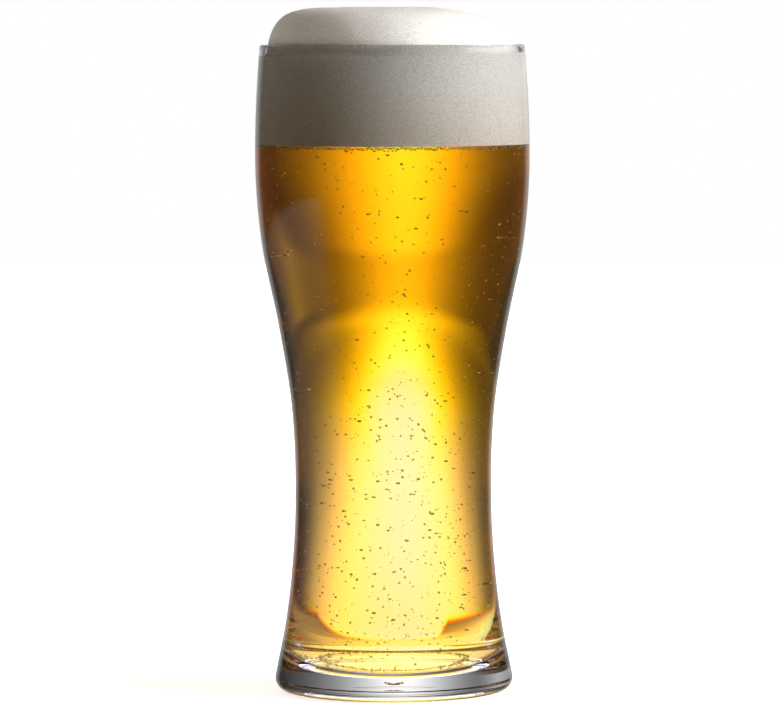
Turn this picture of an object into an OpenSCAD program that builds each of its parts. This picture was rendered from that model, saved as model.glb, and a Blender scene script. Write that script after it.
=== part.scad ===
// Half-litre plastic pilsner glass with its drink: one moulded clear glass, the beer and the foam head.
// Millimetres, +Z up, origin on the axis at the base.

/* [Glass heights] */
// Height of the glass, base to rim
glass_h = 194; // [170:1:240]
// Height from the rim down to the belly, the widest point
rim_h = 33; // [24:1:42]
// Height from the belly down to the bowl, where the wall curves in
belly_h = 26; // [20:1:34]
// Height from the bowl down to the shoulder
bowl_h = 25; // [18:1:34]
// Height from the shoulder down to the neck
shoulder_h = 24; // [18:1:32]
// Height of the ankle above the base, where the foot starts to flare
ankle_h = 20; // [16:1:25]
// Height from the ankle up to the calf
calf_h = 16; // [12:1:22]

/* [Glass diameters] */
// Outer diameter at the rim
rim_d = 79.2; // [74:0.2:86]
// Width that the belly stands out beyond the rim, all round
belly_bulge = 1.55; // [0.4:0.05:3]
// Outer diameter of the bowl, where it curves in below the belly
bowl_d = 78.6; // [74:0.2:84]
// Outer diameter of the shoulder
shoulder_d = 68.6; // [64:0.2:74]
// Outer diameter of the neck
neck_d = 61; // [58:0.5:66]
// Outer diameter of the waist
waist_d = 58.8; // [55:0.5:61]
// Outer diameter of the calf
calf_d = 61.2; // [58:0.2:64]
// Outer diameter of the ankle
ankle_d = 65.2; // [62:0.2:68]
// Outer diameter of the foot at its widest
foot_d = 71.4; // [68:0.5:78]

/* [Glass walls] */
// Wall thickness at the rim
rim_wall = 1.6; // [1.2:0.1:2.4]
// Wall thickness just above the floor
foot_wall = 3; // [2:0.1:4]
// Thickness of the solid base under the drink
floor_t = 5; // [4:0.5:10]
// Radius of the round corner between floor and wall inside
corner_r = 12.5; // [6:0.5:15]
// Radius of the rounded edge round the foot
edge_r = 3.9; // [2.6:0.1:5]
// Lean of the wall just above the foot, in degrees
foot_lean = 10; // [4:1:16]
// Lean of the wall at the rim, inwards, in degrees
rim_lean = 5; // [0:1:9]

/* [Underside] */
// Width of the flat ring that the glass stands on
ring_w = 4.6; // [2:0.2:9]
// Height of the step round the recess
recess_step = 0.5; // [0.3:0.1:1]
// Rise of the recess from its step to its middle
recess_rise = 0.6; // [0.3:0.1:1.2]
// Diameter of the gate mark that the mould leaves in the middle of the recess
gate_d = 4; // [3:0.5:7]
// Depth of the gate mark
gate_depth = 0.3; // [0.2:0.1:0.5]

/* [Drink] */
// Depth of the beer's surface below the rim
fill_drop = 29.8; // [16:0.2:80]
// Depth of the foam's edge below the rim
head_drop = 2.4; // [1:0.2:5]
// Height of the foam above the rim
head_h = 11.2; // [4:0.2:18]
// Width of the gap between the head and the wall on the head's steep side
head_gap = 0.85; // [0.2:0.05:2]
// Squareness of the head's plan on its round side
round_side = 3; // [2:0.25:5]
// Squareness of the head's plan on its steep side
steep_side = 8; // [5:0.5:10]
// Squareness of the head's rise on its round side
round_rise = 1.5; // [1:0.1:2.5]
// Squareness of the head's rise on its steep side
steep_rise = 1.8; // [1:0.1:3]
// Clearance between the drink and the wall, and between beer and foam
film = 0.05; // [0.03:0.01:0.2]

/* [Hidden] */
$fn = 120;

// Heights between the points of a wall and the rings of the foam, and angles between those of an arc
wall_step = 3;
foam_step = 6;
arc_step = 15;

// Heights above the base: the foot's are counted up from it, and the bowl's down from the rim
belly_z = glass_h - rim_h;
bowl_z = belly_z - belly_h;
shoulder_z = bowl_z - bowl_h;
neck_z = shoulder_z - shoulder_h;
ankle_z = ankle_h;
calf_z = ankle_z + calf_h;
beer_z = glass_h - fill_drop;

// The waist, the narrowest point, lies midway between the calf and the neck
waist_z = (calf_z + neck_z) / 2;

// The rounded foot runs up to the height where its arc leans as the wall does
foot_top_z = edge_r * (1 + sin(foot_lean));
foot_top_r = foot_d / 2 - edge_r * (1 - cos(foot_lean));

// The wall's stations from foot to rim: height, radius, and slope where it is set
stations = [
    [foot_top_z, foot_top_r, -tan(foot_lean)],
    [ankle_z, ankle_d / 2, undef],
    [calf_z, calf_d / 2, undef],
    [waist_z, waist_d / 2, 0],
    [neck_z, neck_d / 2, undef],
    [shoulder_z, shoulder_d / 2, undef],
    [bowl_z, bowl_d / 2, undef],
    [belly_z, rim_d / 2 + belly_bulge, 0],
    [glass_h, rim_d / 2, -tan(rim_lean)]
];

function chord(a, b) = (b[1] - a[1]) / (b[0] - a[0]);

// Slope at a station, from the chords on both sides where none is set
function slope(i) =
    stations[i][2] != undef ? stations[i][2] :
    let (below = stations[i][0] - stations[i - 1][0], above = stations[i + 1][0] - stations[i][0])
    (chord(stations[i - 1], stations[i]) * above + chord(stations[i], stations[i + 1]) * below)
        / (below + above);

// Number of the last station at or below a height
function station_below(z, i = 0) =
    i == len(stations) - 2 || z < stations[i + 1][0] ? i : station_below(z, i + 1);

// Outer radius at a height: a cubic through the stations, without a kink
function outer_r(z) =
    let (i = station_below(z), a = stations[i], b = stations[i + 1], h = b[0] - a[0], t = (z - a[0]) / h)
    (2 * t^3 - 3 * t^2 + 1) * a[1] + (t^3 - 2 * t^2 + t) * h * slope(i)
        + (3 * t^2 - 2 * t^3) * b[1] + (t^3 - t^2) * h * slope(i + 1);

// Wall thickness at a height, thinning evenly from the floor to the rim
function wall_t(z) = foot_wall + (rim_wall - foot_wall) * (z - floor_t) / (glass_h - floor_t);

// Radius of the cavity at a height
function cavity_r(z) = outer_r(z) - wall_t(z);

// The cavity's round corner meets its wall where both lean alike
corner_mid_z = floor_t + corner_r;
corner_lean = atan((cavity_r(corner_mid_z) - cavity_r(corner_mid_z + wall_step)) / wall_step);
corner_top_z = corner_mid_z + corner_r * sin(corner_lean);
corner_axis_r = cavity_r(corner_top_z) - corner_r * cos(corner_lean);

// Even steps from one value to another, both ends included
function steps(from, to, step) =
    let (n = max(1, round(abs(to - from) / step)))
    [for (i = [0 : n]) from + (to - from) * i / n];

// Points of an arc about [r, z]
function arc(centre, radius, from, to) =
    [for (a = steps(from, to, arc_step)) centre + radius * [cos(a), sin(a)]];

// The underside, from its middle out to the rounded edge of the foot
ring_r = foot_d / 2 - edge_r;
recess_r = ring_r - ring_w;
dome_r = (recess_r^2 + recess_rise^2) / (2 * recess_rise);
gate_r = gate_d / 2;
function recess_z(r) = recess_step + recess_rise - dome_r + sqrt(dome_r^2 - r^2);
underside = concat(
    [[0, recess_z(gate_r) + gate_depth], [gate_r, recess_z(gate_r) + gate_depth]],
    [for (r = steps(gate_r, recess_r, wall_step)) [r, recess_z(r)]]
);

// The rim is a full round between the outer wall and the cavity
rim_r = rim_wall / 2;
rim_z = glass_h - rim_r;

outer_wall = [for (z = steps(foot_top_z, rim_z, wall_step)) [outer_r(z), z]];
rim_round = arc([outer_r(rim_z) - rim_r, rim_z], rim_r, 0, 180);
cavity_wall = [for (z = steps(rim_z, corner_top_z, wall_step)) [cavity_r(z), z]];
floor_corner = arc([corner_axis_r, corner_mid_z], corner_r, corner_lean, -90);

// The section of the glass: underside, foot, wall, rim, cavity and floor
module glass() {
    color([0.86, 0.93, 0.95, 0.4])
    rotate_extrude()
    polygon(concat(
        underside,
        [[recess_r, 0]],
        arc([ring_r, edge_r], edge_r, -90, foot_lean),
        outer_wall,
        rim_round,
        cavity_wall,
        floor_corner,
        [[0, floor_t]]
    ));
}

// The beer fills the cavity up to its own level, a film's width off the wall
module beer() {
    side = [for (z = steps(corner_top_z, beer_z, wall_step)) [cavity_r(z) - film, z]];
    color([0.96, 0.66, 0.08, 0.8])
    rotate_extrude()
    polygon(concat(
        [[0, floor_t + film]],
        arc([corner_axis_r, corner_mid_z], corner_r - film, -90, corner_lean),
        side,
        [[0, beer_z]]
    ));
}

// The foam: rings up the cavity, then a head that is steep on one side and round on the other
foam_z = beer_z + film;
head_z = glass_h - head_drop;
head_rise = head_h + head_drop;
foam_sides = 48;
ring_a = 360 / foam_sides;

// Blend from the round side, at angle 0, to the steep side, at angle 180
function head_side(a, round_value, steep_value) =
    round_value + (steep_value - round_value) * (1 - cos(a)) / 2;

// The head stands off the wall on its steep side, so it is narrower than the cavity and off the axis
head_r = cavity_r(head_z) - film - head_gap / 2;
head_x = head_gap / 2;

// A point of the head at angle a, from its edge at t = 0 to its top at t = 90
function head_point(a, t) =
    let (
        across = head_side(a, round_side, steep_side),
        up = head_side(a, round_rise, steep_rise),
        r = head_r * cos(t)^(2 / across)
    )
    [head_x + r * cos(a), r * sin(a), head_z + head_rise * sin(t)^(2 / up)];

function side_ring(z) =
    [for (i = [0 : foam_sides - 1]) let (r = cavity_r(z) - film) [r * cos(i * ring_a), r * sin(i * ring_a), z]];
function head_ring(t) = [for (i = [0 : foam_sides - 1]) head_point(i * ring_a, t)];

module foam() {
    rings = concat(
        [for (z = steps(foam_z, head_z, foam_step)) side_ring(z)],
        [for (t = [6 : 7 : 83]) head_ring(t)]
    );
    last = len(rings) - 1;
    points = concat([for (ring = rings) each ring], [[0, 0, foam_z], [0, 0, head_z + head_rise]]);
    under = len(points) - 2;
    top = len(points) - 1;
    faces = concat(
        [for (k = [0 : last - 1], i = [0 : foam_sides - 1]) let (j = (i + 1) % foam_sides)
            [k * foam_sides + i, (k + 1) * foam_sides + i, (k + 1) * foam_sides + j, k * foam_sides + j]],
        [for (i = [0 : foam_sides - 1]) [under, i, (i + 1) % foam_sides]],
        [for (i = [0 : foam_sides - 1]) let (j = (i + 1) % foam_sides)
            [last * foam_sides + i, top, last * foam_sides + j]]
    );
    color([0.97, 0.95, 0.9])
    polyhedron(points, faces);
}

glass();
beer();
foam();
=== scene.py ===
"""Plastic pilsner glass, full of golden beer under a foam head.

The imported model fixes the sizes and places. This script dresses it: the moulded glass, the beer and the
foam are smooth meshes that stand for the three solids, with the bubbles that rise in the drink.
Lengths are in metres, in the model's own frame.
"""

import logging
import math
import random
from dataclasses import dataclass, field
from enum import Enum

import bmesh
import bpy
from mathutils import Euler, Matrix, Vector, noise


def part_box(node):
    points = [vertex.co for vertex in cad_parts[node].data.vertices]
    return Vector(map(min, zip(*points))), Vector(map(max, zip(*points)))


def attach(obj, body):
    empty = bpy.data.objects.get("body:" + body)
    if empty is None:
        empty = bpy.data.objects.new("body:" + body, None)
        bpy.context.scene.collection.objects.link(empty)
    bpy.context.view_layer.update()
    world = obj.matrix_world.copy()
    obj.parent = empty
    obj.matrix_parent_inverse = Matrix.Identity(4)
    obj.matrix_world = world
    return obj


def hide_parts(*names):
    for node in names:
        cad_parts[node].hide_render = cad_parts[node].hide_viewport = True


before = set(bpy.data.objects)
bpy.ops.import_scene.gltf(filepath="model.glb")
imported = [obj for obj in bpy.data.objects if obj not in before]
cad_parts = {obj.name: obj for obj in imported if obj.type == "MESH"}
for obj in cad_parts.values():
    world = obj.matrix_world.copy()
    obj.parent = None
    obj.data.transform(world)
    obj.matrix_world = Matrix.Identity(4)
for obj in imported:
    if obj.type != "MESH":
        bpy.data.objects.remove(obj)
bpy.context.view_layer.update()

MM = 0.001
BODY = "root"
SIDES = 160
# Radius up to which a point of an outline lies on the axis
ON_AXIS = 1e-7

log = logging.getLogger("pilsner_glass")

Point = tuple[float, float]


class Node(Enum):
    """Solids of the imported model."""

    GLASS = "glass"
    BEER = "beer"
    FOAM = "foam"


class Slot(Enum):
    """Material slots of the record."""

    CLEAR_PLASTIC = "clear_plastic"
    BEER = "beer"
    FOAM = "foam"


def steps(start: float, end: float, step: float) -> list[float]:
    """Splits a stretch evenly, both ends included.

    Args:
        start: First value.
        end: Last value.
        step: Distance aimed at between two values.

    Returns:
        The values in order.
    """
    count = max(1, round(abs(end - start) / step))
    return [start + (end - start) * i / count for i in range(count + 1)]


def arc(centre: Point, radius: float, start: float, end: float, step: float = 6.0) -> list[Point]:
    """Lays points along an arc.

    Args:
        centre: Radius and height of the arc's centre.
        radius: Radius of the arc.
        start: First angle in degrees.
        end: Last angle in degrees.
        step: Degrees between two points.

    Returns:
        Points as radius and height.
    """
    return [
        (centre[0] + radius * math.cos(math.radians(a)), centre[1] + radius * math.sin(math.radians(a)))
        for a in steps(start, end, step)
    ]


@dataclass(frozen=True)
class Station:
    """A height on the outer wall, with its radius, and its slope where that is set."""

    height: float
    radius: float
    slope: float | None = None


class WallCurve:
    """Outer wall of the glass: a cubic through its stations, without a kink."""

    def __init__(self, stations: list[Station]) -> None:
        """Works out the slope at each station."""
        self.stations = stations
        self.slopes = [self._slope(i) for i in range(len(stations))]

    def _slope(self, i: int) -> float:
        """Slope at a station, from the chords on both sides where none is set."""
        here = self.stations[i]
        if here.slope is not None:
            return here.slope
        before, after = self.stations[i - 1], self.stations[i + 1]
        below, above = here.height - before.height, after.height - here.height
        chord_below = (here.radius - before.radius) / below
        chord_above = (after.radius - here.radius) / above
        return (chord_below * above + chord_above * below) / (below + above)

    def radius(self, height: float) -> float:
        """Outer radius of the glass.

        Args:
            height: Height above the base.

        Returns:
            The radius there.
        """
        last = len(self.stations) - 2
        i = next((k for k in range(last) if height < self.stations[k + 1].height), last)
        low, high = self.stations[i], self.stations[i + 1]
        h = high.height - low.height
        t = (height - low.height) / h
        return (
            (2 * t**3 - 3 * t**2 + 1) * low.radius
            + (t**3 - 2 * t**2 + t) * h * self.slopes[i]
            + (3 * t**2 - 2 * t**3) * high.radius
            + (t**3 - t**2) * h * self.slopes[i + 1]
        )


@dataclass(frozen=True)
class GlassSizes:
    """Sizes of the moulded glass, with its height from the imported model."""

    height: float
    rim_drop: float = 33 * MM
    belly_drop: float = 26 * MM
    bowl_drop: float = 25 * MM
    shoulder_drop: float = 24 * MM
    ankle_height: float = 20 * MM
    calf_rise: float = 16 * MM
    rim_width: float = 79.2 * MM
    belly_bulge: float = 1.55 * MM
    bowl_width: float = 78.6 * MM
    shoulder_width: float = 68.6 * MM
    neck_width: float = 61 * MM
    waist_width: float = 58.8 * MM
    calf_width: float = 61.2 * MM
    ankle_width: float = 65.2 * MM
    foot_width: float = 71.4 * MM
    rim_wall: float = 1.6 * MM
    foot_wall: float = 3 * MM
    floor_thickness: float = 5 * MM
    corner_radius: float = 12.5 * MM
    edge_radius: float = 3.9 * MM
    foot_lean: float = 10.0
    rim_lean: float = 5.0
    ring_width: float = 4.6 * MM
    recess_step: float = 0.5 * MM
    recess_rise: float = 0.6 * MM
    gate_width: float = 4 * MM
    gate_depth: float = 0.3 * MM

    def wall(self) -> WallCurve:
        """The outer wall from foot to rim."""
        lean = math.radians(self.foot_lean)
        foot_top = self.edge_radius * (1 + math.sin(lean))
        foot_radius = self.foot_width / 2 - self.edge_radius * (1 - math.cos(lean))
        belly = self.height - self.rim_drop
        bowl = belly - self.belly_drop
        shoulder = bowl - self.bowl_drop
        neck = shoulder - self.shoulder_drop
        calf = self.ankle_height + self.calf_rise
        return WallCurve(
            [
                Station(foot_top, foot_radius, -math.tan(lean)),
                Station(self.ankle_height, self.ankle_width / 2),
                Station(calf, self.calf_width / 2),
                Station((calf + neck) / 2, self.waist_width / 2, 0.0),
                Station(neck, self.neck_width / 2),
                Station(shoulder, self.shoulder_width / 2),
                Station(bowl, self.bowl_width / 2),
                Station(belly, self.rim_width / 2 + self.belly_bulge, 0.0),
                Station(self.height, self.rim_width / 2, -math.tan(math.radians(self.rim_lean))),
            ]
        )


class Cavity:
    """Inside of the glass: its wall, its round corner and its floor."""

    def __init__(self, sizes: GlassSizes) -> None:
        """Finds where the round corner meets the leaning wall."""
        self.sizes = sizes
        self.outer = sizes.wall()
        self.corner_height = sizes.floor_thickness + sizes.corner_radius
        rise = 3 * MM
        drop = self.radius(self.corner_height) - self.radius(self.corner_height + rise)
        self.corner_lean = math.degrees(math.atan(drop / rise))
        lean = math.radians(self.corner_lean)
        self.corner_top = self.corner_height + sizes.corner_radius * math.sin(lean)
        self.floor_radius = self.radius(self.corner_top) - sizes.corner_radius * math.cos(lean)

    def radius(self, height: float) -> float:
        """Radius of the cavity at a height above its round corner."""
        sizes = self.sizes
        share = (height - sizes.floor_thickness) / (sizes.height - sizes.floor_thickness)
        return self.outer.radius(height) - sizes.foot_wall - (sizes.rim_wall - sizes.foot_wall) * share

    def reach(self, height: float) -> float:
        """Radius of the cavity at any height above the floor, its round corner included."""
        if height >= self.corner_top:
            return self.radius(height)
        below = self.corner_height - height
        return self.floor_radius + math.sqrt(max(0.0, self.sizes.corner_radius**2 - below**2))

    def corner(self, grow: float) -> list[Point]:
        """Points of the round corner, from the floor up, grown into the wall by a small amount."""
        centre = (self.floor_radius, self.corner_height)
        return arc(centre, self.sizes.corner_radius + grow, -90, self.corner_lean, 3)


def on_ring(radius: float, turn: float, height: float) -> Vector:
    """A place at a radius from the axis, an angle round it in radians, and a height."""
    return Vector((radius * math.cos(turn), radius * math.sin(turn), height))


def revolve(name: str, outline: list[Point], sides: int = SIDES, sharp: float = 35.0) -> bpy.types.Object:
    """Turns an outline about the vertical axis into a closed mesh.

    Args:
        name: Name of the piece.
        outline: Points as radius and height. The first and last lie on the axis.
        sides: Number of sides round the axis.
        sharp: Edges that turn by more degrees than this stay sharp.

    Returns:
        The new object, smooth-shaded, with its normals outward.
    """
    shape = bmesh.new()
    turns = [i * math.tau / sides for i in range(sides)]
    rings = []
    for radius, height in outline:
        ring = [on_ring(radius, turn, height) for turn in turns] if radius > ON_AXIS else [(0, 0, height)]
        rings.append([shape.verts.new(place) for place in ring])
    for low, high in zip(rings, rings[1:]):
        for i in range(sides):
            j = (i + 1) % sides
            corners = [low[i % len(low)], low[j % len(low)], high[j % len(high)], high[i % len(high)]]
            shape.faces.new(dict.fromkeys(corners))
    return finish_mesh(name, shape, sharp)


def finish_mesh(name: str, shape: bmesh.types.BMesh, sharp: float = 35.0) -> bpy.types.Object:
    """Makes an object of a mesh under construction.

    Args:
        name: Name of the piece.
        shape: The mesh, which is freed.
        sharp: Edges that turn by more degrees than this stay sharp.

    Returns:
        The new object in the scene.
    """
    bmesh.ops.recalc_face_normals(shape, faces=shape.faces)
    mesh = bpy.data.meshes.new(name)
    shape.to_mesh(mesh)
    shape.free()
    mesh.shade_smooth()
    mesh.set_sharp_from_angle(angle=math.radians(sharp))
    piece = bpy.data.objects.new(name, mesh)
    bpy.context.scene.collection.objects.link(piece)
    return piece


def dress(piece: bpy.types.Object, material: bpy.types.Material) -> None:
    """Gives a piece its material and its slot, and lets it ride on the body."""
    piece.data.materials.append(material)
    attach(piece, BODY)
    log.info("%s: %d faces", piece.name, len(piece.data.polygons))


class Shader:
    """Adds nodes to a material or a world and joins them."""

    def __init__(self, tree: bpy.types.NodeTree) -> None:
        """Starts from an empty tree."""
        self.tree = tree
        tree.nodes.clear()

    def node(self, kind: str, inputs: dict | None = None, **settings) -> bpy.types.Node:
        """Adds a node.

        Args:
            kind: Blender's name for the node, without its Node prefix.
            inputs: Values or sockets for the node's inputs, by name or number.
            **settings: The node's own settings.

        Returns:
            The new node.
        """
        made = self.tree.nodes.new("ShaderNode" + kind)
        for key, value in settings.items():
            setattr(made, key, value)
        for key, value in (inputs or {}).items():
            if isinstance(value, bpy.types.NodeSocket):
                self.tree.links.new(value, made.inputs[key])
            else:
                made.inputs[key].default_value = value
        return made

    def math(self, operation: str, *values) -> bpy.types.NodeSocket:
        """Adds a math node and returns its result."""
        return self.node("Math", dict(enumerate(values)), operation=operation).outputs[0]

    def ramp(self, factor: bpy.types.NodeSocket, stops: list[tuple[float, tuple]]) -> bpy.types.NodeSocket:
        """Adds a colour ramp.

        Args:
            factor: What drives the ramp.
            stops: Place and colour of each stop, in order.

        Returns:
            The ramp's colour.
        """
        made = self.node("ValToRGB", {0: factor})
        elements = made.color_ramp.elements
        for place, _ in stops[2:]:
            elements.new(place)
        for element, (place, colour) in zip(elements, stops):
            element.position = place
            element.color = (*colour, 1)
        return made.outputs[0]

    def smooth(self, value: bpy.types.NodeSocket, low: float, high: float) -> bpy.types.NodeSocket:
        """Rises smoothly from 0 at the low value to 1 at the high one, or falls if low is above high."""
        inputs = {"Value": value, "From Min": low, "From Max": high}
        return self.node("MapRange", inputs, interpolation_type="SMOOTHSTEP").outputs[0]


@dataclass(frozen=True)
class ClearPlastic:
    """Clear moulded plastic, polished, with the faint haze of handling."""

    name: str = "clear_moulded_plastic"
    tint: tuple = (0.985, 0.99, 0.99)
    ior: float = 1.5
    polish: float = 0.012
    haze: float = 0.03
    haze_grain: float = 45.0
    haze_share: tuple = (0.45, 0.8)

    def material(self) -> bpy.types.Material:
        """Builds the material."""
        made = bpy.data.materials.new(self.name)
        made.use_nodes = True
        shader = Shader(made.node_tree)
        place = shader.node("TexCoord").outputs["Object"]
        grain = shader.node("TexNoise", {"Vector": place, "Scale": self.haze_grain, "Detail": 4.0})
        low, high = self.haze_share
        spread = {"From Min": low, "From Max": high, "To Min": self.polish, "To Max": self.haze}
        roughness = shader.node("MapRange", {"Value": grain.outputs[0], **spread}).outputs[0]
        skin = shader.node(
            "BsdfPrincipled",
            {
                "Base Color": (*self.tint, 1),
                "Roughness": roughness,
                "IOR": self.ior,
                "Transmission Weight": 1.0,
            },
        )
        shader.node("OutputMaterial", {"Surface": skin.outputs[0]})
        return made


@dataclass(frozen=True)
class GoldenBeer:
    """Clear golden beer: water-like, with blue and some green taken out over the light's path."""

    name: str = "golden_beer"
    ior: float = 1.345
    absorption: tuple = (0.8, 13.8, 59.0)

    def material(self) -> bpy.types.Material:
        """Builds the material."""
        made = bpy.data.materials.new(self.name)
        made.use_nodes = True
        shader = Shader(made.node_tree)
        density = max(self.absorption)
        colour = tuple(1 - part / density for part in self.absorption)
        skin = shader.node(
            "BsdfPrincipled",
            {"Base Color": (1, 1, 1, 1), "Roughness": 0.0, "IOR": self.ior, "Transmission Weight": 1.0},
        )
        body = shader.node("VolumeAbsorption", {"Color": (*colour, 1), "Density": density})
        shader.node("OutputMaterial", {"Surface": skin.outputs[0], "Volume": body.outputs[0]})
        return made


@dataclass(frozen=True)
class FoamFinish:
    """Dense wet foam: white above, with a painted warm glow and shade low down by the beer, and fine bubbles
    with painted shade in the hollows between them.
    """

    name: str = "beer_foam"
    top_colour: tuple = (0.93, 0.925, 0.91)
    # Darker, warmer colour low down: painted warm glow and shade from the beer below
    low_painted_glow: tuple = (0.87, 0.81, 0.74)
    low_depth: float = 22 * MM
    bubble_size: float = 0.75 * MM
    film_width: float = 0.22
    # Painted shade in the hollows between the foam's bubbles
    film_painted_shade: tuple = (0.82, 0.8, 0.76)
    film_relief: float = 0.15 * MM
    relief_strength: float = 0.35
    roughness: float = 0.6
    ior: float = 1.33

    def material(self, low: float) -> bpy.types.Material:
        """Builds the material.

        Args:
            low: Height of the foam's underside.

        Returns:
            The material.
        """
        made = bpy.data.materials.new(self.name)
        made.use_nodes = True
        shader = Shader(made.node_tree)
        place = shader.node("TexCoord").outputs["Object"]
        height = shader.node("SeparateXYZ", {0: place}).outputs["Z"]
        # Blends from the painted warm glow and shade at the underside up to the foam's white
        rise = shader.smooth(height, low, low + self.low_depth)
        foam_with_painted_glow = shader.ramp(rise, [(0.0, self.low_painted_glow), (1.0, self.top_colour)])
        cells = shader.node(
            "TexVoronoi", {"Vector": place, "Scale": 1 / self.bubble_size}, feature="DISTANCE_TO_EDGE"
        ).outputs["Distance"]
        # Bubble edges, which the bump sinks, get darker: painted shade in the hollows between bubbles
        film = shader.smooth(cells, 0.0, self.film_width)
        painted_film_shade = shader.ramp(film, [(0.0, self.film_painted_shade), (1.0, (1, 1, 1))])
        colour = shader.node("Mix", {6: foam_with_painted_glow, 7: painted_film_shade, 0: 1.0}, data_type="RGBA", blend_type="MULTIPLY")
        relief = {"Height": film, "Strength": self.relief_strength, "Distance": self.film_relief}
        bump = shader.node("Bump", relief)
        skin = shader.node(
            "BsdfPrincipled",
            {
                "Base Color": colour.outputs[2],
                "Roughness": self.roughness,
                "IOR": self.ior,
                "Normal": bump.outputs[0],
            },
        )
        shader.node("OutputMaterial", {"Surface": skin.outputs[0]})
        return made


@dataclass(frozen=True)
class BubbleFinish:
    """Gas bubble in the drink, which bends light like a tiny bead and is a little milky."""

    name: str = "gas_bubble"
    ior: float = 1.6
    clearness: float = 0.8
    colour: tuple = (0.92, 0.95, 0.62)

    def material(self) -> bpy.types.Material:
        """Builds the material."""
        made = bpy.data.materials.new(self.name)
        made.use_nodes = True
        shader = Shader(made.node_tree)
        skin = shader.node(
            "BsdfPrincipled",
            {
                "Base Color": (*self.colour, 1),
                "Roughness": 0.0,
                "IOR": self.ior,
                "Transmission Weight": self.clearness,
            },
        )
        shader.node("OutputMaterial", {"Surface": skin.outputs[0]})
        return made


@dataclass
class PlasticGlass:
    """The moulded glass, one turned shape from the recess under its base to its floor inside."""

    sizes: GlassSizes
    cavity: Cavity
    wall_step: float = 1.25 * MM
    dome_step: float = 2 * MM
    recess_fillet: float = 0.2 * MM

    def outline(self) -> list[Point]:
        """Section of the glass, from the middle of its underside round to the middle of its floor."""
        sizes, cavity = self.sizes, self.cavity
        rim_radius = sizes.rim_wall / 2
        rim_height = sizes.height - rim_radius
        foot_top = sizes.edge_radius * (1 + math.sin(math.radians(sizes.foot_lean)))
        ring = sizes.foot_width / 2 - sizes.edge_radius
        rim_centre = (cavity.outer.radius(rim_height) - rim_radius, rim_height)
        return [
            *self.underside(ring - sizes.ring_width),
            *arc((ring, sizes.edge_radius), sizes.edge_radius, -90, sizes.foot_lean),
            *[(cavity.outer.radius(z), z) for z in steps(foot_top, rim_height, self.wall_step)[1:]],
            *arc(rim_centre, rim_radius, 0, 180, 12)[1:],
            *[(cavity.radius(z), z) for z in steps(rim_height, cavity.corner_top, self.wall_step)[1:]],
            *reversed(cavity.corner(0)[:-1]),
            (0.0, sizes.floor_thickness),
        ]

    def underside(self, recess: float) -> list[Point]:
        """Recess under the base, from its gate mark out to the ring that the glass stands on."""
        sizes, fillet = self.sizes, self.recess_fillet
        dome = (recess**2 + sizes.recess_rise**2) / (2 * sizes.recess_rise)
        gate = sizes.gate_width / 2

        def ceiling(radius: float) -> float:
            """Height of the recess at a radius."""
            return sizes.recess_step + sizes.recess_rise - dome + math.sqrt(dome**2 - radius**2)

        return [
            (0.0, ceiling(gate) + sizes.gate_depth),
            (gate - fillet, ceiling(gate) + sizes.gate_depth),
            *[(r, ceiling(r)) for r in steps(gate, recess - fillet, self.dome_step)],
            (recess, sizes.recess_step - fillet),
            *arc((recess + fillet, fillet), fillet, 180, 270, 15),
        ]

    def build(self, finish: ClearPlastic) -> bpy.types.Object:
        """Makes the glass and lets it stand for its solid."""
        piece = revolve("moulded_glass", self.outline())
        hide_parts(Node.GLASS.value)
        dress(piece, finish.material())
        return piece


@dataclass
class BeerFill:
    """The beer, which fills the cavity up to its own level and wets the wall."""

    cavity: Cavity
    level: float
    wetting: float = 0.1 * MM
    step: float = 1.25 * MM

    def build(self, finish: GoldenBeer) -> bpy.types.Object:
        """Makes the beer and lets it stand for its solid."""
        cavity = self.cavity
        floor = cavity.sizes.floor_thickness - self.wetting
        side = steps(cavity.corner_top, self.level, self.step)[1:]
        outline = [
            (0.0, floor),
            *cavity.corner(self.wetting),
            *[(cavity.radius(z) + self.wetting, z) for z in side],
            (0.0, self.level),
        ]
        piece = revolve("beer_fill", outline)
        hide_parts(Node.BEER.value)
        dress(piece, finish.material())
        return piece


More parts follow.
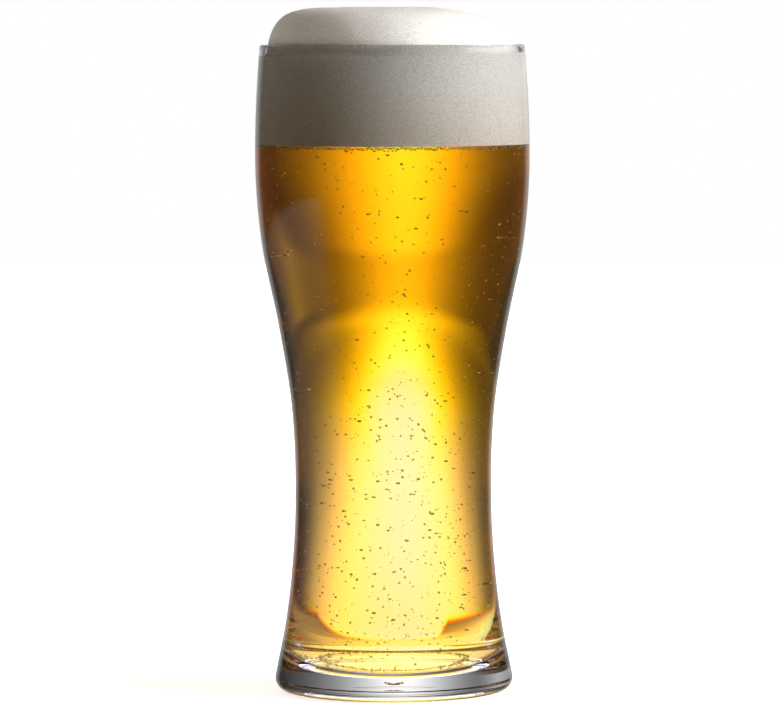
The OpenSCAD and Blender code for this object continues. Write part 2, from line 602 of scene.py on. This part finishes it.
@dataclass
class FoamHead:
    """The foam: a plug in the bowl and a head above the rim, steep on one side and round on the other."""

    cavity: Cavity
    bottom: float
    top: float
    edge_drop: float = 2.4 * MM
    gap: float = 0.85 * MM
    wetting: float = 0.1 * MM
    round_plan: float = 3.0
    steep_plan: float = 8.0
    round_rise: float = 1.5
    steep_rise: float = 1.8
    lump: float = 0.35 * MM
    lumps_per_metre: float = 90.0
    lump_detail: tuple = (0.7, 2.0, 4)
    lump_way: tuple = (0.5, 0.6)
    step: float = 1.25 * MM
    rings: int = 44
    crowding: float = 1.25

    def edge(self) -> float:
        """Height where the head's edge meets the foam in the bowl."""
        return self.cavity.sizes.height - self.edge_drop

    def head_point(self, turn: float, lift: float) -> Vector:
        """A point of the head.

        Args:
            turn: Angle round the axis, 0 at the round side.
            lift: Angle from the head's edge, 0, to its top, a right angle.

        Returns:
            The point.
        """
        edge = self.edge()
        steep = (1 - math.cos(turn)) / 2
        plan = self.round_plan + (self.steep_plan - self.round_plan) * steep
        rise = self.round_rise + (self.steep_rise - self.round_rise) * steep
        radius = (self.cavity.radius(edge) - self.gap / 2) * max(0.0, math.cos(lift)) ** (2 / plan)
        height = edge + (self.top - edge) * math.sin(lift) ** (2 / rise)
        point = on_ring(radius, turn, height) + Vector((self.gap / 2, 0, 0))
        swell = self.lump * math.sin(lift) * noise.fractal(point * self.lumps_per_metre, *self.lump_detail)
        out, up = self.lump_way
        return point + on_ring(out, turn, up) * swell

    def build(self, finish: FoamFinish) -> bpy.types.Object:
        """Makes the foam and lets it stand for its solid."""
        shape = bmesh.new()
        turns = [i * math.tau / SIDES for i in range(SIDES)]
        levels = steps(self.bottom, self.edge(), self.step)[:-1]
        side = [[on_ring(self.cavity.radius(z) + self.wetting, t, z) for t in turns] for z in levels]
        lifts = [math.pi / 2 * (i / self.rings) ** self.crowding for i in range(self.rings)]
        head = [[self.head_point(t, lift) for t in turns] for lift in lifts]
        rings = [[shape.verts.new(p) for p in ring] for ring in side + head]
        under = shape.verts.new((0, 0, self.bottom))
        peak = shape.verts.new((0, 0, self.top))
        for i in range(SIDES):
            j = (i + 1) % SIDES
            for low, high in zip(rings, rings[1:]):
                shape.faces.new((low[i], low[j], high[j], high[i]))
            shape.faces.new((under, rings[0][j], rings[0][i]))
            shape.faces.new((rings[-1][i], rings[-1][j], peak))
        piece = finish_mesh("foam_head", shape, 60)
        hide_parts(Node.FOAM.value)
        dress(piece, finish.material(self.bottom))
        return piece


@dataclass
class BubbleField:
    """Gas bubbles: rising in the beer, sitting under the foam and clinging to the floor."""

    cavity: Cavity
    level: float
    rising: int = 1700
    under_foam: int = 900
    on_floor: int = 500
    rising_sizes: tuple = (0.15, 0.18, 0.21, 0.25, 0.3, 0.36)
    foam_sizes: tuple = (0.16, 0.32)
    floor_sizes: tuple = (0.14, 0.28)
    off_floor: float = 3 * MM
    off_foam: float = 2 * MM
    off_wall: float = 0.15 * MM
    low_crowding: float = 1.3
    wall_share: float = 0.75
    near_share: float = 0.4
    band_height: float = 0.45 * MM
    band_depth: float = 2 * MM
    floor_ring: float = 0.9 * MM
    resting_gap: float = 0.05 * MM
    fine: float = 0.22 * MM
    seed: int = 11
    places: list[tuple[Vector, float]] = field(default_factory=list)

    def scatter_rising(self, draw: random.Random) -> None:
        """Spreads bubbles through the beer, more of them near the wall and on the side to the camera."""
        low = self.cavity.sizes.floor_thickness + self.off_floor
        for _ in range(self.rising):
            size = draw.choice(self.rising_sizes) * MM
            height = low + (self.level - self.off_foam - low) * draw.random() ** self.low_crowding
            reach = self.cavity.reach(height) - size - self.off_wall
            radius = reach if draw.random() < self.wall_share else reach * math.sqrt(draw.random())
            turn = draw.uniform(0, math.tau)
            if draw.random() < self.near_share:
                turn = math.pi + turn / 2
            self.places.append((on_ring(radius, turn, height), size))

    def scatter_under_foam(self, draw: random.Random) -> None:
        """Packs bubbles in a band under the foam, against the wall."""
        for i in range(self.under_foam):
            size = draw.uniform(*self.foam_sizes) * MM
            height = self.level - size - abs(draw.gauss(0, self.band_height))
            radius = self.cavity.radius(height) - size - draw.random() ** 2 * self.band_depth
            turn = (i + draw.random()) * math.tau / self.under_foam
            self.places.append((on_ring(radius, turn, height), size))

    def scatter_on_floor(self, draw: random.Random) -> None:
        """Lays a ring of bubbles where the floor meets its round corner."""
        floor = self.cavity.sizes.floor_thickness
        for i in range(self.on_floor):
            size = draw.uniform(*self.floor_sizes) * MM
            radius = self.cavity.floor_radius - abs(draw.gauss(0, self.floor_ring))
            turn = (i + draw.random()) * math.tau / self.on_floor
            self.places.append((on_ring(radius, turn, floor + size + self.resting_gap), size))

    def bead(self, detail: int) -> tuple[list[Vector], list[list[int]]]:
        """Corners and faces of a round bead of radius 1, with more of them for a higher detail."""
        shape = bmesh.new()
        bmesh.ops.create_icosphere(shape, subdivisions=detail, radius=1)
        corners = [v.co.copy() for v in shape.verts]
        faces = [[v.index for v in f.verts] for f in shape.faces]
        shape.free()
        return corners, faces

    def build(self, finish: BubbleFinish) -> bpy.types.Object:
        """Makes all the bubbles as one piece of separate small beads."""
        draw = random.Random(self.seed)
        self.scatter_rising(draw)
        self.scatter_under_foam(draw)
        self.scatter_on_floor(draw)
        beads = [self.bead(1), self.bead(2)]
        shape = bmesh.new()
        for place, size in self.places:
            corners, faces = beads[size > self.fine]
            verts = [shape.verts.new(place + corner * size) for corner in corners]
            for face in faces:
                shape.faces.new([verts[k] for k in face])
        piece = finish_mesh("gas_bubbles", shape, 180)
        dress(piece, finish.material())
        return piece


# Foot of a card that reaches below all that shows it
DEEP = -0.5


@dataclass(frozen=True)
class Card:
    """A lit patch on the tent, hot in the middle, with long soft sides.

    A middle and a lower light join its upper one, each at a height of its own. It is wider at one height
    and towards its bottom. Its foot rises in a curve on one side and in a step on the other, and has a
    coloured fringe. Angles and widths are in degrees, and heights in metres. Each pair runs from where a
    part begins to where it is full.
    """

    azimuth: float
    upper: float = 1.7
    middle: float = 1.3
    lower: float = 5.9
    middle_fade: tuple = (0.167, 0.149)
    lower_fade: tuple = (0.149, 0.08)
    half_width: float = 10.3
    hump: float = 2.0
    hump_fades: tuple = ((0.165, 0.154), (0.138, 0.149))
    spread: float = 6.6
    spread_fade: tuple = (0.11, -0.095)
    falloff: float = 1.8
    side: tuple = (46.0, 26.0)
    foot: float = -0.18
    foot_rise: float = 0.085
    foot_bow: float = 26.0
    foot_curve: float = 3.0
    foot_corner: tuple = (8.0, 12.5)
    corner_rise: float = 0.85
    foot_blur: float = 0.01
    foot_fringe: tuple = (-0.008, 0.0, 0.012)

    def light(self, shader: Shader, azimuth: bpy.types.NodeSocket, height: bpy.types.NodeSocket) -> list:
        """Light of the card at a place on the tent.

        Args:
            shader: Tree that the nodes go into.
            azimuth: Place's angle from +Y towards -X, in radians.
            height: Place's height.

        Returns:
            Sockets with its red, green and blue there, which part only at the card's foot.
        """
        off = shader.math("SUBTRACT", azimuth, math.radians(self.azimuth))
        off = shader.math("DEGREES", shader.math("WRAP", off, math.pi, -math.pi))
        humped = shader.math("MULTIPLY", *[shader.smooth(height, *fade) for fade in self.hump_fades])
        wide = shader.math("MULTIPLY_ADD", humped, self.hump, self.half_width)
        wide = shader.math("MULTIPLY_ADD", shader.smooth(height, *self.spread_fade), self.spread, wide)
        across = shader.math("DIVIDE", off, wide)
        fall = shader.math("POWER", shader.math("MULTIPLY_ADD", across, across, 1.0), -self.falloff)
        fall = shader.math("MULTIPLY", fall, shader.smooth(shader.math("ABSOLUTE", off), *self.side))
        light = self.upper
        for part, fade in ((self.middle, self.middle_fade), (self.lower, self.lower_fade)):
            light = shader.math("MULTIPLY_ADD", shader.smooth(height, *fade), part, light)
        bow = shader.math("MINIMUM", shader.math("DIVIDE", off, -self.foot_bow), 1.0)
        bow = shader.math("POWER", shader.math("MAXIMUM", bow, 0.0), self.foot_curve)
        corner = shader.math("MULTIPLY", shader.smooth(off, *self.foot_corner), self.corner_rise)
        bow = shader.math("MAXIMUM", bow, corner)
        above = shader.math("SUBTRACT", height, shader.math("MULTIPLY_ADD", bow, self.foot_rise, self.foot))
        light = shader.math("MULTIPLY", light, fall)
        blur = self.foot_blur
        cuts = [shader.smooth(above, part - blur, part + blur) for part in self.foot_fringe]
        return [shader.math("MULTIPLY", light, cut) for cut in cuts]


@dataclass(frozen=True)
class LightTent:
    """Drum round the object that shows only through it, with lit cards behind it for each view.

    A ray that has crossed the drink straight sees the cards, whose light is held back where it is strong,
    one colour at a time. A ray that was reflected in the drink sees a wide golden light, and one that has
    crossed the clear plastic alone sees a plain one. Each fade, start and end runs from where its part
    begins to where it is full. The middle and the plain width are in degrees, and the strip's start and
    end in radians.
    """

    radius: float = 0.45
    bottom: float = -0.6
    top: float = 0.8
    sides: int = 96
    dark: tuple = (0.01, 0.01, 0.015)
    beer_crossings: float = 4.5
    below: float = 0.36
    below_fade: tuple = (-0.095, -0.125)
    red_cap: float = 1.4
    green_cap: tuple = (2.5, 4.2)
    green_fade: tuple = (0.11, 0.15)
    green_knee: float = 4.0
    blue_gain: float = 1.4
    blue_light: tuple = (1.0, 6.0)
    blue_fade: tuple = (0.11, 0.02)
    middle: float = 2.0
    plain_width: float = 14.0
    plain_falloff: float = 1.25
    plain_fade: tuple = (-0.04, 0.02)
    plain_low: float = 0.45
    plain_rise: float = 0.68
    plain_low_tint: tuple = (1, 0.88, 0.62)
    strip_start: tuple = (0.45, 0.85)
    strip_end: tuple = (2.2, 1.8)
    strip_fade: tuple = (0.09, 0.075)
    strip_light: float = 0.45
    by_reflection: float = 6.2
    golden_fade: tuple = (-0.03, 0.05)
    golden_low: float = 0.25
    golden_softness: float = 0.28
    golden_side: tuple = (0.38, 0.36, 0.33)
    golden_middle: tuple = (0.43, 0.52, 1)
    cards: tuple[Card, ...] = (
        Card(2),
        Card(2, upper=0, middle=0, lower=3.2, lower_fade=(-0.15, -0.17), half_width=11, spread=0, foot=DEEP),
        Card(2, upper=0, middle=0, lower=1.2, lower_fade=(-0.185, -0.21), half_width=30, spread=0, foot=DEEP),
        Card(-28, upper=0, middle=0.2, middle_fade=(0.166, 0.178), lower=0, half_width=9, foot=DEEP),
        Card(90, lower=0, half_width=18, side=(80, 50), foot=DEEP),
        Card(225, lower=0, half_width=26, side=(80, 50), foot=DEEP),
        Card(
            45,
            upper=0,
            middle=2.8,
            lower=0,
            middle_fade=(-0.1, -0.2),
            half_width=26,
            side=(80, 50),
            foot=DEEP,
        ),
    )

    def glow(
        self, shader: Shader, azimuth: bpy.types.NodeSocket, height: bpy.types.NodeSocket
    ) -> bpy.types.NodeSocket:
        """Colour of the tent as seen straight through the drink.

        Args:
            shader: Tree that the nodes go into.
            azimuth: Place's angle from +Y towards -X, in radians.
            height: Place's height.

        Returns:
            The colour there.
        """
        colours = [shader.math("MULTIPLY", shader.smooth(height, *self.below_fade), self.below)] * 3
        for card in self.cards:
            parts = card.light(shader, azimuth, height)
            colours = [shader.math("ADD", whole, part) for whole, part in zip(colours, parts)]
        light, green, blue = colours
        low_cap, high_cap = self.green_cap
        rise = shader.smooth(height, *self.green_fade)
        cap = shader.math("MULTIPLY_ADD", rise, high_cap - low_cap, low_cap)
        over = shader.math("POWER", shader.math("DIVIDE", green, cap), self.green_knee)
        held = shader.math("POWER", shader.math("ADD", over, 1.0), -1 / self.green_knee)
        green = shader.math("MULTIPLY", green, held)
        pale = shader.smooth(light, *self.blue_light)
        pale = shader.math("MAXIMUM", pale, shader.smooth(height, *self.blue_fade))
        blue = shader.math("MULTIPLY", shader.math("MULTIPLY", blue, self.blue_gain), pale)
        red = shader.math("MINIMUM", light, self.red_cap)
        return shader.node("CombineXYZ", {0: red, 1: green, 2: blue}).outputs[0]

    def middle_share(self, shader: Shader, azimuth: bpy.types.NodeSocket) -> bpy.types.NodeSocket:
        """Share that is 1 behind the object's middle and falls off to both sides."""
        off = shader.math("SUBTRACT", azimuth, math.radians(self.middle))
        off = shader.math("DIVIDE", off, math.radians(self.plain_width))
        return shader.math("POWER", shader.math("MULTIPLY_ADD", off, off, 1.0), -self.plain_falloff)

    def plain(
        self,
        shader: Shader,
        azimuth: bpy.types.NodeSocket,
        height: bpy.types.NodeSocket,
        share: bpy.types.NodeSocket,
    ) -> bpy.types.Node:
        """Light as seen through clear plastic alone, with a soft low strip to one side."""
        above = shader.smooth(height, *self.plain_fade)
        light = shader.math("MULTIPLY_ADD", above, self.plain_rise, self.plain_low)
        light = shader.math("MULTIPLY", share, light)
        strip = shader.smooth(azimuth, *self.strip_start)
        strip = shader.math("MULTIPLY", strip, shader.smooth(azimuth, *self.strip_end))
        strip = shader.math("MULTIPLY", strip, shader.smooth(height, *self.strip_fade))
        light = shader.math("MULTIPLY_ADD", strip, self.strip_light, light)
        tint = shader.ramp(above, [(0.0, self.plain_low_tint), (1.0, (1, 1, 1))])
        return shader.node("Emission", {"Color": tint, "Strength": light})

    def reflected(
        self, shader: Shader, height: bpy.types.NodeSocket, share: bpy.types.NodeSocket
    ) -> bpy.types.Node:
        """Light as seen by reflection inside the drink, such as under its floor."""
        low = self.golden_low
        band = shader.math("MULTIPLY_ADD", shader.smooth(height, *self.golden_fade), 1 - low, low)
        wide = shader.math("MULTIPLY", shader.math("POWER", share, self.golden_softness), band)
        colour = shader.ramp(share, [(0.0, self.golden_side), (1.0, self.golden_middle)])
        strength = shader.math("MULTIPLY", wide, self.by_reflection)
        return shader.node("Emission", {"Color": colour, "Strength": strength})

    def material(self) -> bpy.types.Material:
        """Builds the tent's light, which leaves out rays that light the foam."""
        made = bpy.data.materials.new("tent_light")
        made.use_nodes = True
        shader = Shader(made.node_tree)
        place = shader.node("SeparateXYZ", {0: shader.node("TexCoord").outputs["Object"]}).outputs
        azimuth = shader.math("ARCTAN2", shader.math("MULTIPLY", place["X"], -1.0), place["Y"])
        height = place["Z"]
        share = self.middle_share(shader, azimuth)
        path = shader.node("LightPath").outputs
        straight = shader.node("Emission", {"Color": self.glow(shader, azimuth, height), "Strength": 1.0})
        reflected = self.reflected(shader, height, share)
        plain = self.plain(shader, azimuth, height, share)
        dark = shader.node("Emission", {"Color": (*self.dark, 1), "Strength": 1.0})
        crossed = shader.math("GREATER_THAN", path["Transmission Depth"], self.beer_crossings)
        direct = shader.math("LESS_THAN", path["Glossy Depth"], 0.5)
        drink = shader.node("MixShader", {0: direct, 1: reflected.outputs[0], 2: straight.outputs[0]})
        shown = shader.node("MixShader", {0: crossed, 1: plain.outputs[0], 2: drink.outputs[0]})
        both = shader.node("AddShader", {0: shown.outputs[0], 1: dark.outputs[0]})
        lit = shader.math("GREATER_THAN", path["Diffuse Depth"], 0.5)
        away = shader.node("BsdfTransparent")
        surface = shader.node("MixShader", {0: lit, 1: both.outputs[0], 2: away.outputs[0]})
        shader.node("OutputMaterial", {"Surface": surface.outputs[0]})
        return made

    def build(self) -> None:
        """Puts the tent up."""
        n = self.sides
        turns = [i * math.tau / n for i in range(n)]
        points = [on_ring(self.radius, turn, z) for z in (self.bottom, self.top) for turn in turns]
        mesh = bpy.data.meshes.new("light_tent")
        mesh.from_pydata(points, [], [(i, (i + 1) % n, n + (i + 1) % n, n + i) for i in range(n)])
        mesh.materials.append(self.material())
        tent = bpy.data.objects.new("light_tent", mesh)
        tent.visible_camera = tent.visible_diffuse = tent.visible_glossy = tent.visible_shadow = False
        bpy.context.scene.collection.objects.link(tent)


@dataclass
class Studio:
    """White studio: pale floor, soft light from the right, and the photograph's camera."""

    camera_height: float = 197 * MM
    camera_distance: float = 1600 * MM
    camera_aside: float = -0.88 * MM
    camera_pitch: float = -3.4
    camera_roll: float = -0.18
    pixels_per_radian: float = 5337.0
    frame_width: float = 780.0
    sensor_width: float = 36.0
    key: Vector = Vector((0.92, -0.19, 0.22))
    key_light: float = 2.2
    key_focus: float = 18.0
    fill: Vector = Vector((-0.35, 0.93, 0.2))
    fill_light: float = 0.45
    fill_focus: float = 4.0
    ambient: tuple = (0.155, 0.12, 0.078)
    behind: tuple = (0.1, 0.08, 0.07)
    behind_bounced: float = 0.8
    below_horizon: tuple = (-30.0, -50.0)
    gloss_dark: tuple = (0.03, 0.03, 0.03)
    gloss_light: tuple = (0.5, 0.5, 0.5)
    gloss_back: tuple = (0.8, 0.95)
    floor_size: float = 6.0
    floor_grey: tuple = (0.8, 0.8, 0.8)
    floor_glow: float = 0.75

    def place_camera(self) -> None:
        """Puts the camera level with the rim, looking down at the middle of the glass."""
        data = bpy.data.cameras.new("photo_camera")
        data.sensor_width = self.sensor_width
        data.lens = self.pixels_per_radian / self.frame_width * data.sensor_width
        data.clip_start, data.clip_end = 0.05, 50
        camera = bpy.data.objects.new("photo_camera", data)
        camera.location = (self.camera_aside, -self.camera_distance, self.camera_height)
        turn = Euler((math.radians(90 + self.camera_pitch), 0, 0)).to_matrix()
        roll = Euler((0, 0, math.radians(self.camera_roll))).to_matrix()
        camera.rotation_euler = (turn @ roll).to_euler()
        bpy.context.scene.collection.objects.link(camera)
        bpy.context.scene.camera = camera

    def lay_floor(self) -> None:
        """Lays the pale floor, which shows as white and keeps a soft shadow."""
        half = self.floor_size / 2
        mesh = bpy.data.meshes.new("studio_floor")
        corners = [(-half, -half, 0), (half, -half, 0), (half, half, 0), (-half, half, 0)]
        mesh.from_pydata(corners, [], [(0, 1, 2, 3)])
        floor = bpy.data.objects.new("studio_floor", mesh)
        bpy.context.scene.collection.objects.link(floor)
        paint = bpy.data.materials.new("white_floor")
        paint.use_nodes = True
        shader = Shader(paint.node_tree)
        matt = shader.node("BsdfDiffuse", {"Color": (*self.floor_grey, 1)})
        seen = shader.node("LightPath").outputs["Is Camera Ray"]
        strength = shader.math("MULTIPLY", seen, self.floor_glow)
        glow = shader.node("Emission", {"Color": (1, 1, 1, 1), "Strength": strength})
        both = shader.node("AddShader", {0: matt.outputs[0], 1: glow.outputs[0]})
        shader.node("OutputMaterial", {"Surface": both.outputs[0]})
        mesh.materials.append(paint)
        floor.visible_transmission = False
        floor.visible_glossy = False

    def light(self) -> None:
        """Sets the surroundings: white to the camera, soft from the right, and dim through the glass."""
        world = bpy.data.worlds.new("studio")
        bpy.context.scene.world = world
        world.use_nodes = True
        shader = Shader(world.node_tree)
        way = shader.node("TexCoord").outputs["Generated"]
        parts = shader.node("SeparateXYZ", {0: way}).outputs
        path = shader.node("LightPath").outputs
        elevation = shader.math("ARCSINE", parts["Z"])
        low = shader.smooth(elevation, *[math.radians(angle) for angle in self.below_horizon])
        bounced = shader.math("GREATER_THAN", path["Glossy Depth"], 0.5)
        low = shader.math("MAXIMUM", low, shader.math("MULTIPLY", bounced, self.behind_bounced))
        through = shader.ramp(low, [(0.0, self.behind), (1.0, (1, 1, 1))])
        back = shader.smooth(parts["Y"], *self.gloss_back)
        mirrored = shader.ramp(back, [(0.0, self.gloss_dark), (1.0, self.gloss_light)])

        def lobe(direction: Vector, focus: float, gain: float) -> bpy.types.NodeSocket:
            """Light that is strongest from one direction, with its strength on a surface that faces it."""
            facing = shader.node("VectorMath", {0: way, 1: direction.normalized()}, operation="DOT_PRODUCT")
            lit = shader.math("MAXIMUM", facing.outputs["Value"], 0.0)
            return shader.math("MULTIPLY", shader.math("POWER", lit, focus), gain * (focus + 2) / 2)

        key = lobe(self.key, self.key_focus, self.key_light)
        both = shader.math("ADD", key, lobe(self.fill, self.fill_focus, self.fill_light))
        levels = {i: shader.math("ADD", both, part) for i, part in enumerate(self.ambient)}
        level = shader.node("CombineXYZ", levels)

        soft = shader.node("Background", {"Color": level.outputs[0], "Strength": 1.0})
        reflected = shader.node("Background", {"Color": mirrored, "Strength": 1.0})
        refracted = shader.node("Background", {"Color": through, "Strength": 1.0})
        white = shader.node("Background", {"Color": (1, 1, 1, 1), "Strength": 1.0})
        lit = shader.math("GREATER_THAN", path["Diffuse Depth"], 0.5)
        choices = ((path["Is Glossy Ray"], reflected), (lit, soft), (path["Is Camera Ray"], white))
        seen = refracted
        for share, other in choices:
            seen = shader.node("MixShader", {0: share, 1: seen.outputs[0], 2: other.outputs[0]})
        shader.node("OutputWorld", {"Surface": seen.outputs[0]})

    def build(self) -> None:
        """Sets up the camera, floor, light and colour."""
        self.place_camera()
        self.lay_floor()
        self.light()
        LightTent().build()
        scene = bpy.context.scene
        scene.view_settings.view_transform = "Standard"
        scene.cycles.max_bounces = 32
        scene.cycles.transmission_bounces = 32
        scene.cycles.glossy_bounces = 12


def main() -> None:
    """Builds the studio, then the glass, its drink and the bubbles."""
    logging.basicConfig(level=logging.INFO, format="%(name)s: %(message)s")
    Studio().build()
    sizes = GlassSizes(height=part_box(Node.GLASS.value)[1].z)
    cavity = Cavity(sizes)
    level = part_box(Node.BEER.value)[1].z
    PlasticGlass(sizes, cavity).build(ClearPlastic())
    BeerFill(cavity, level).build(GoldenBeer())
    FoamHead(cavity, level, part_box(Node.FOAM.value)[1].z).build(FoamFinish())
    BubbleField(cavity, level).build(BubbleFinish())


if __name__ == "__main__":
    main()
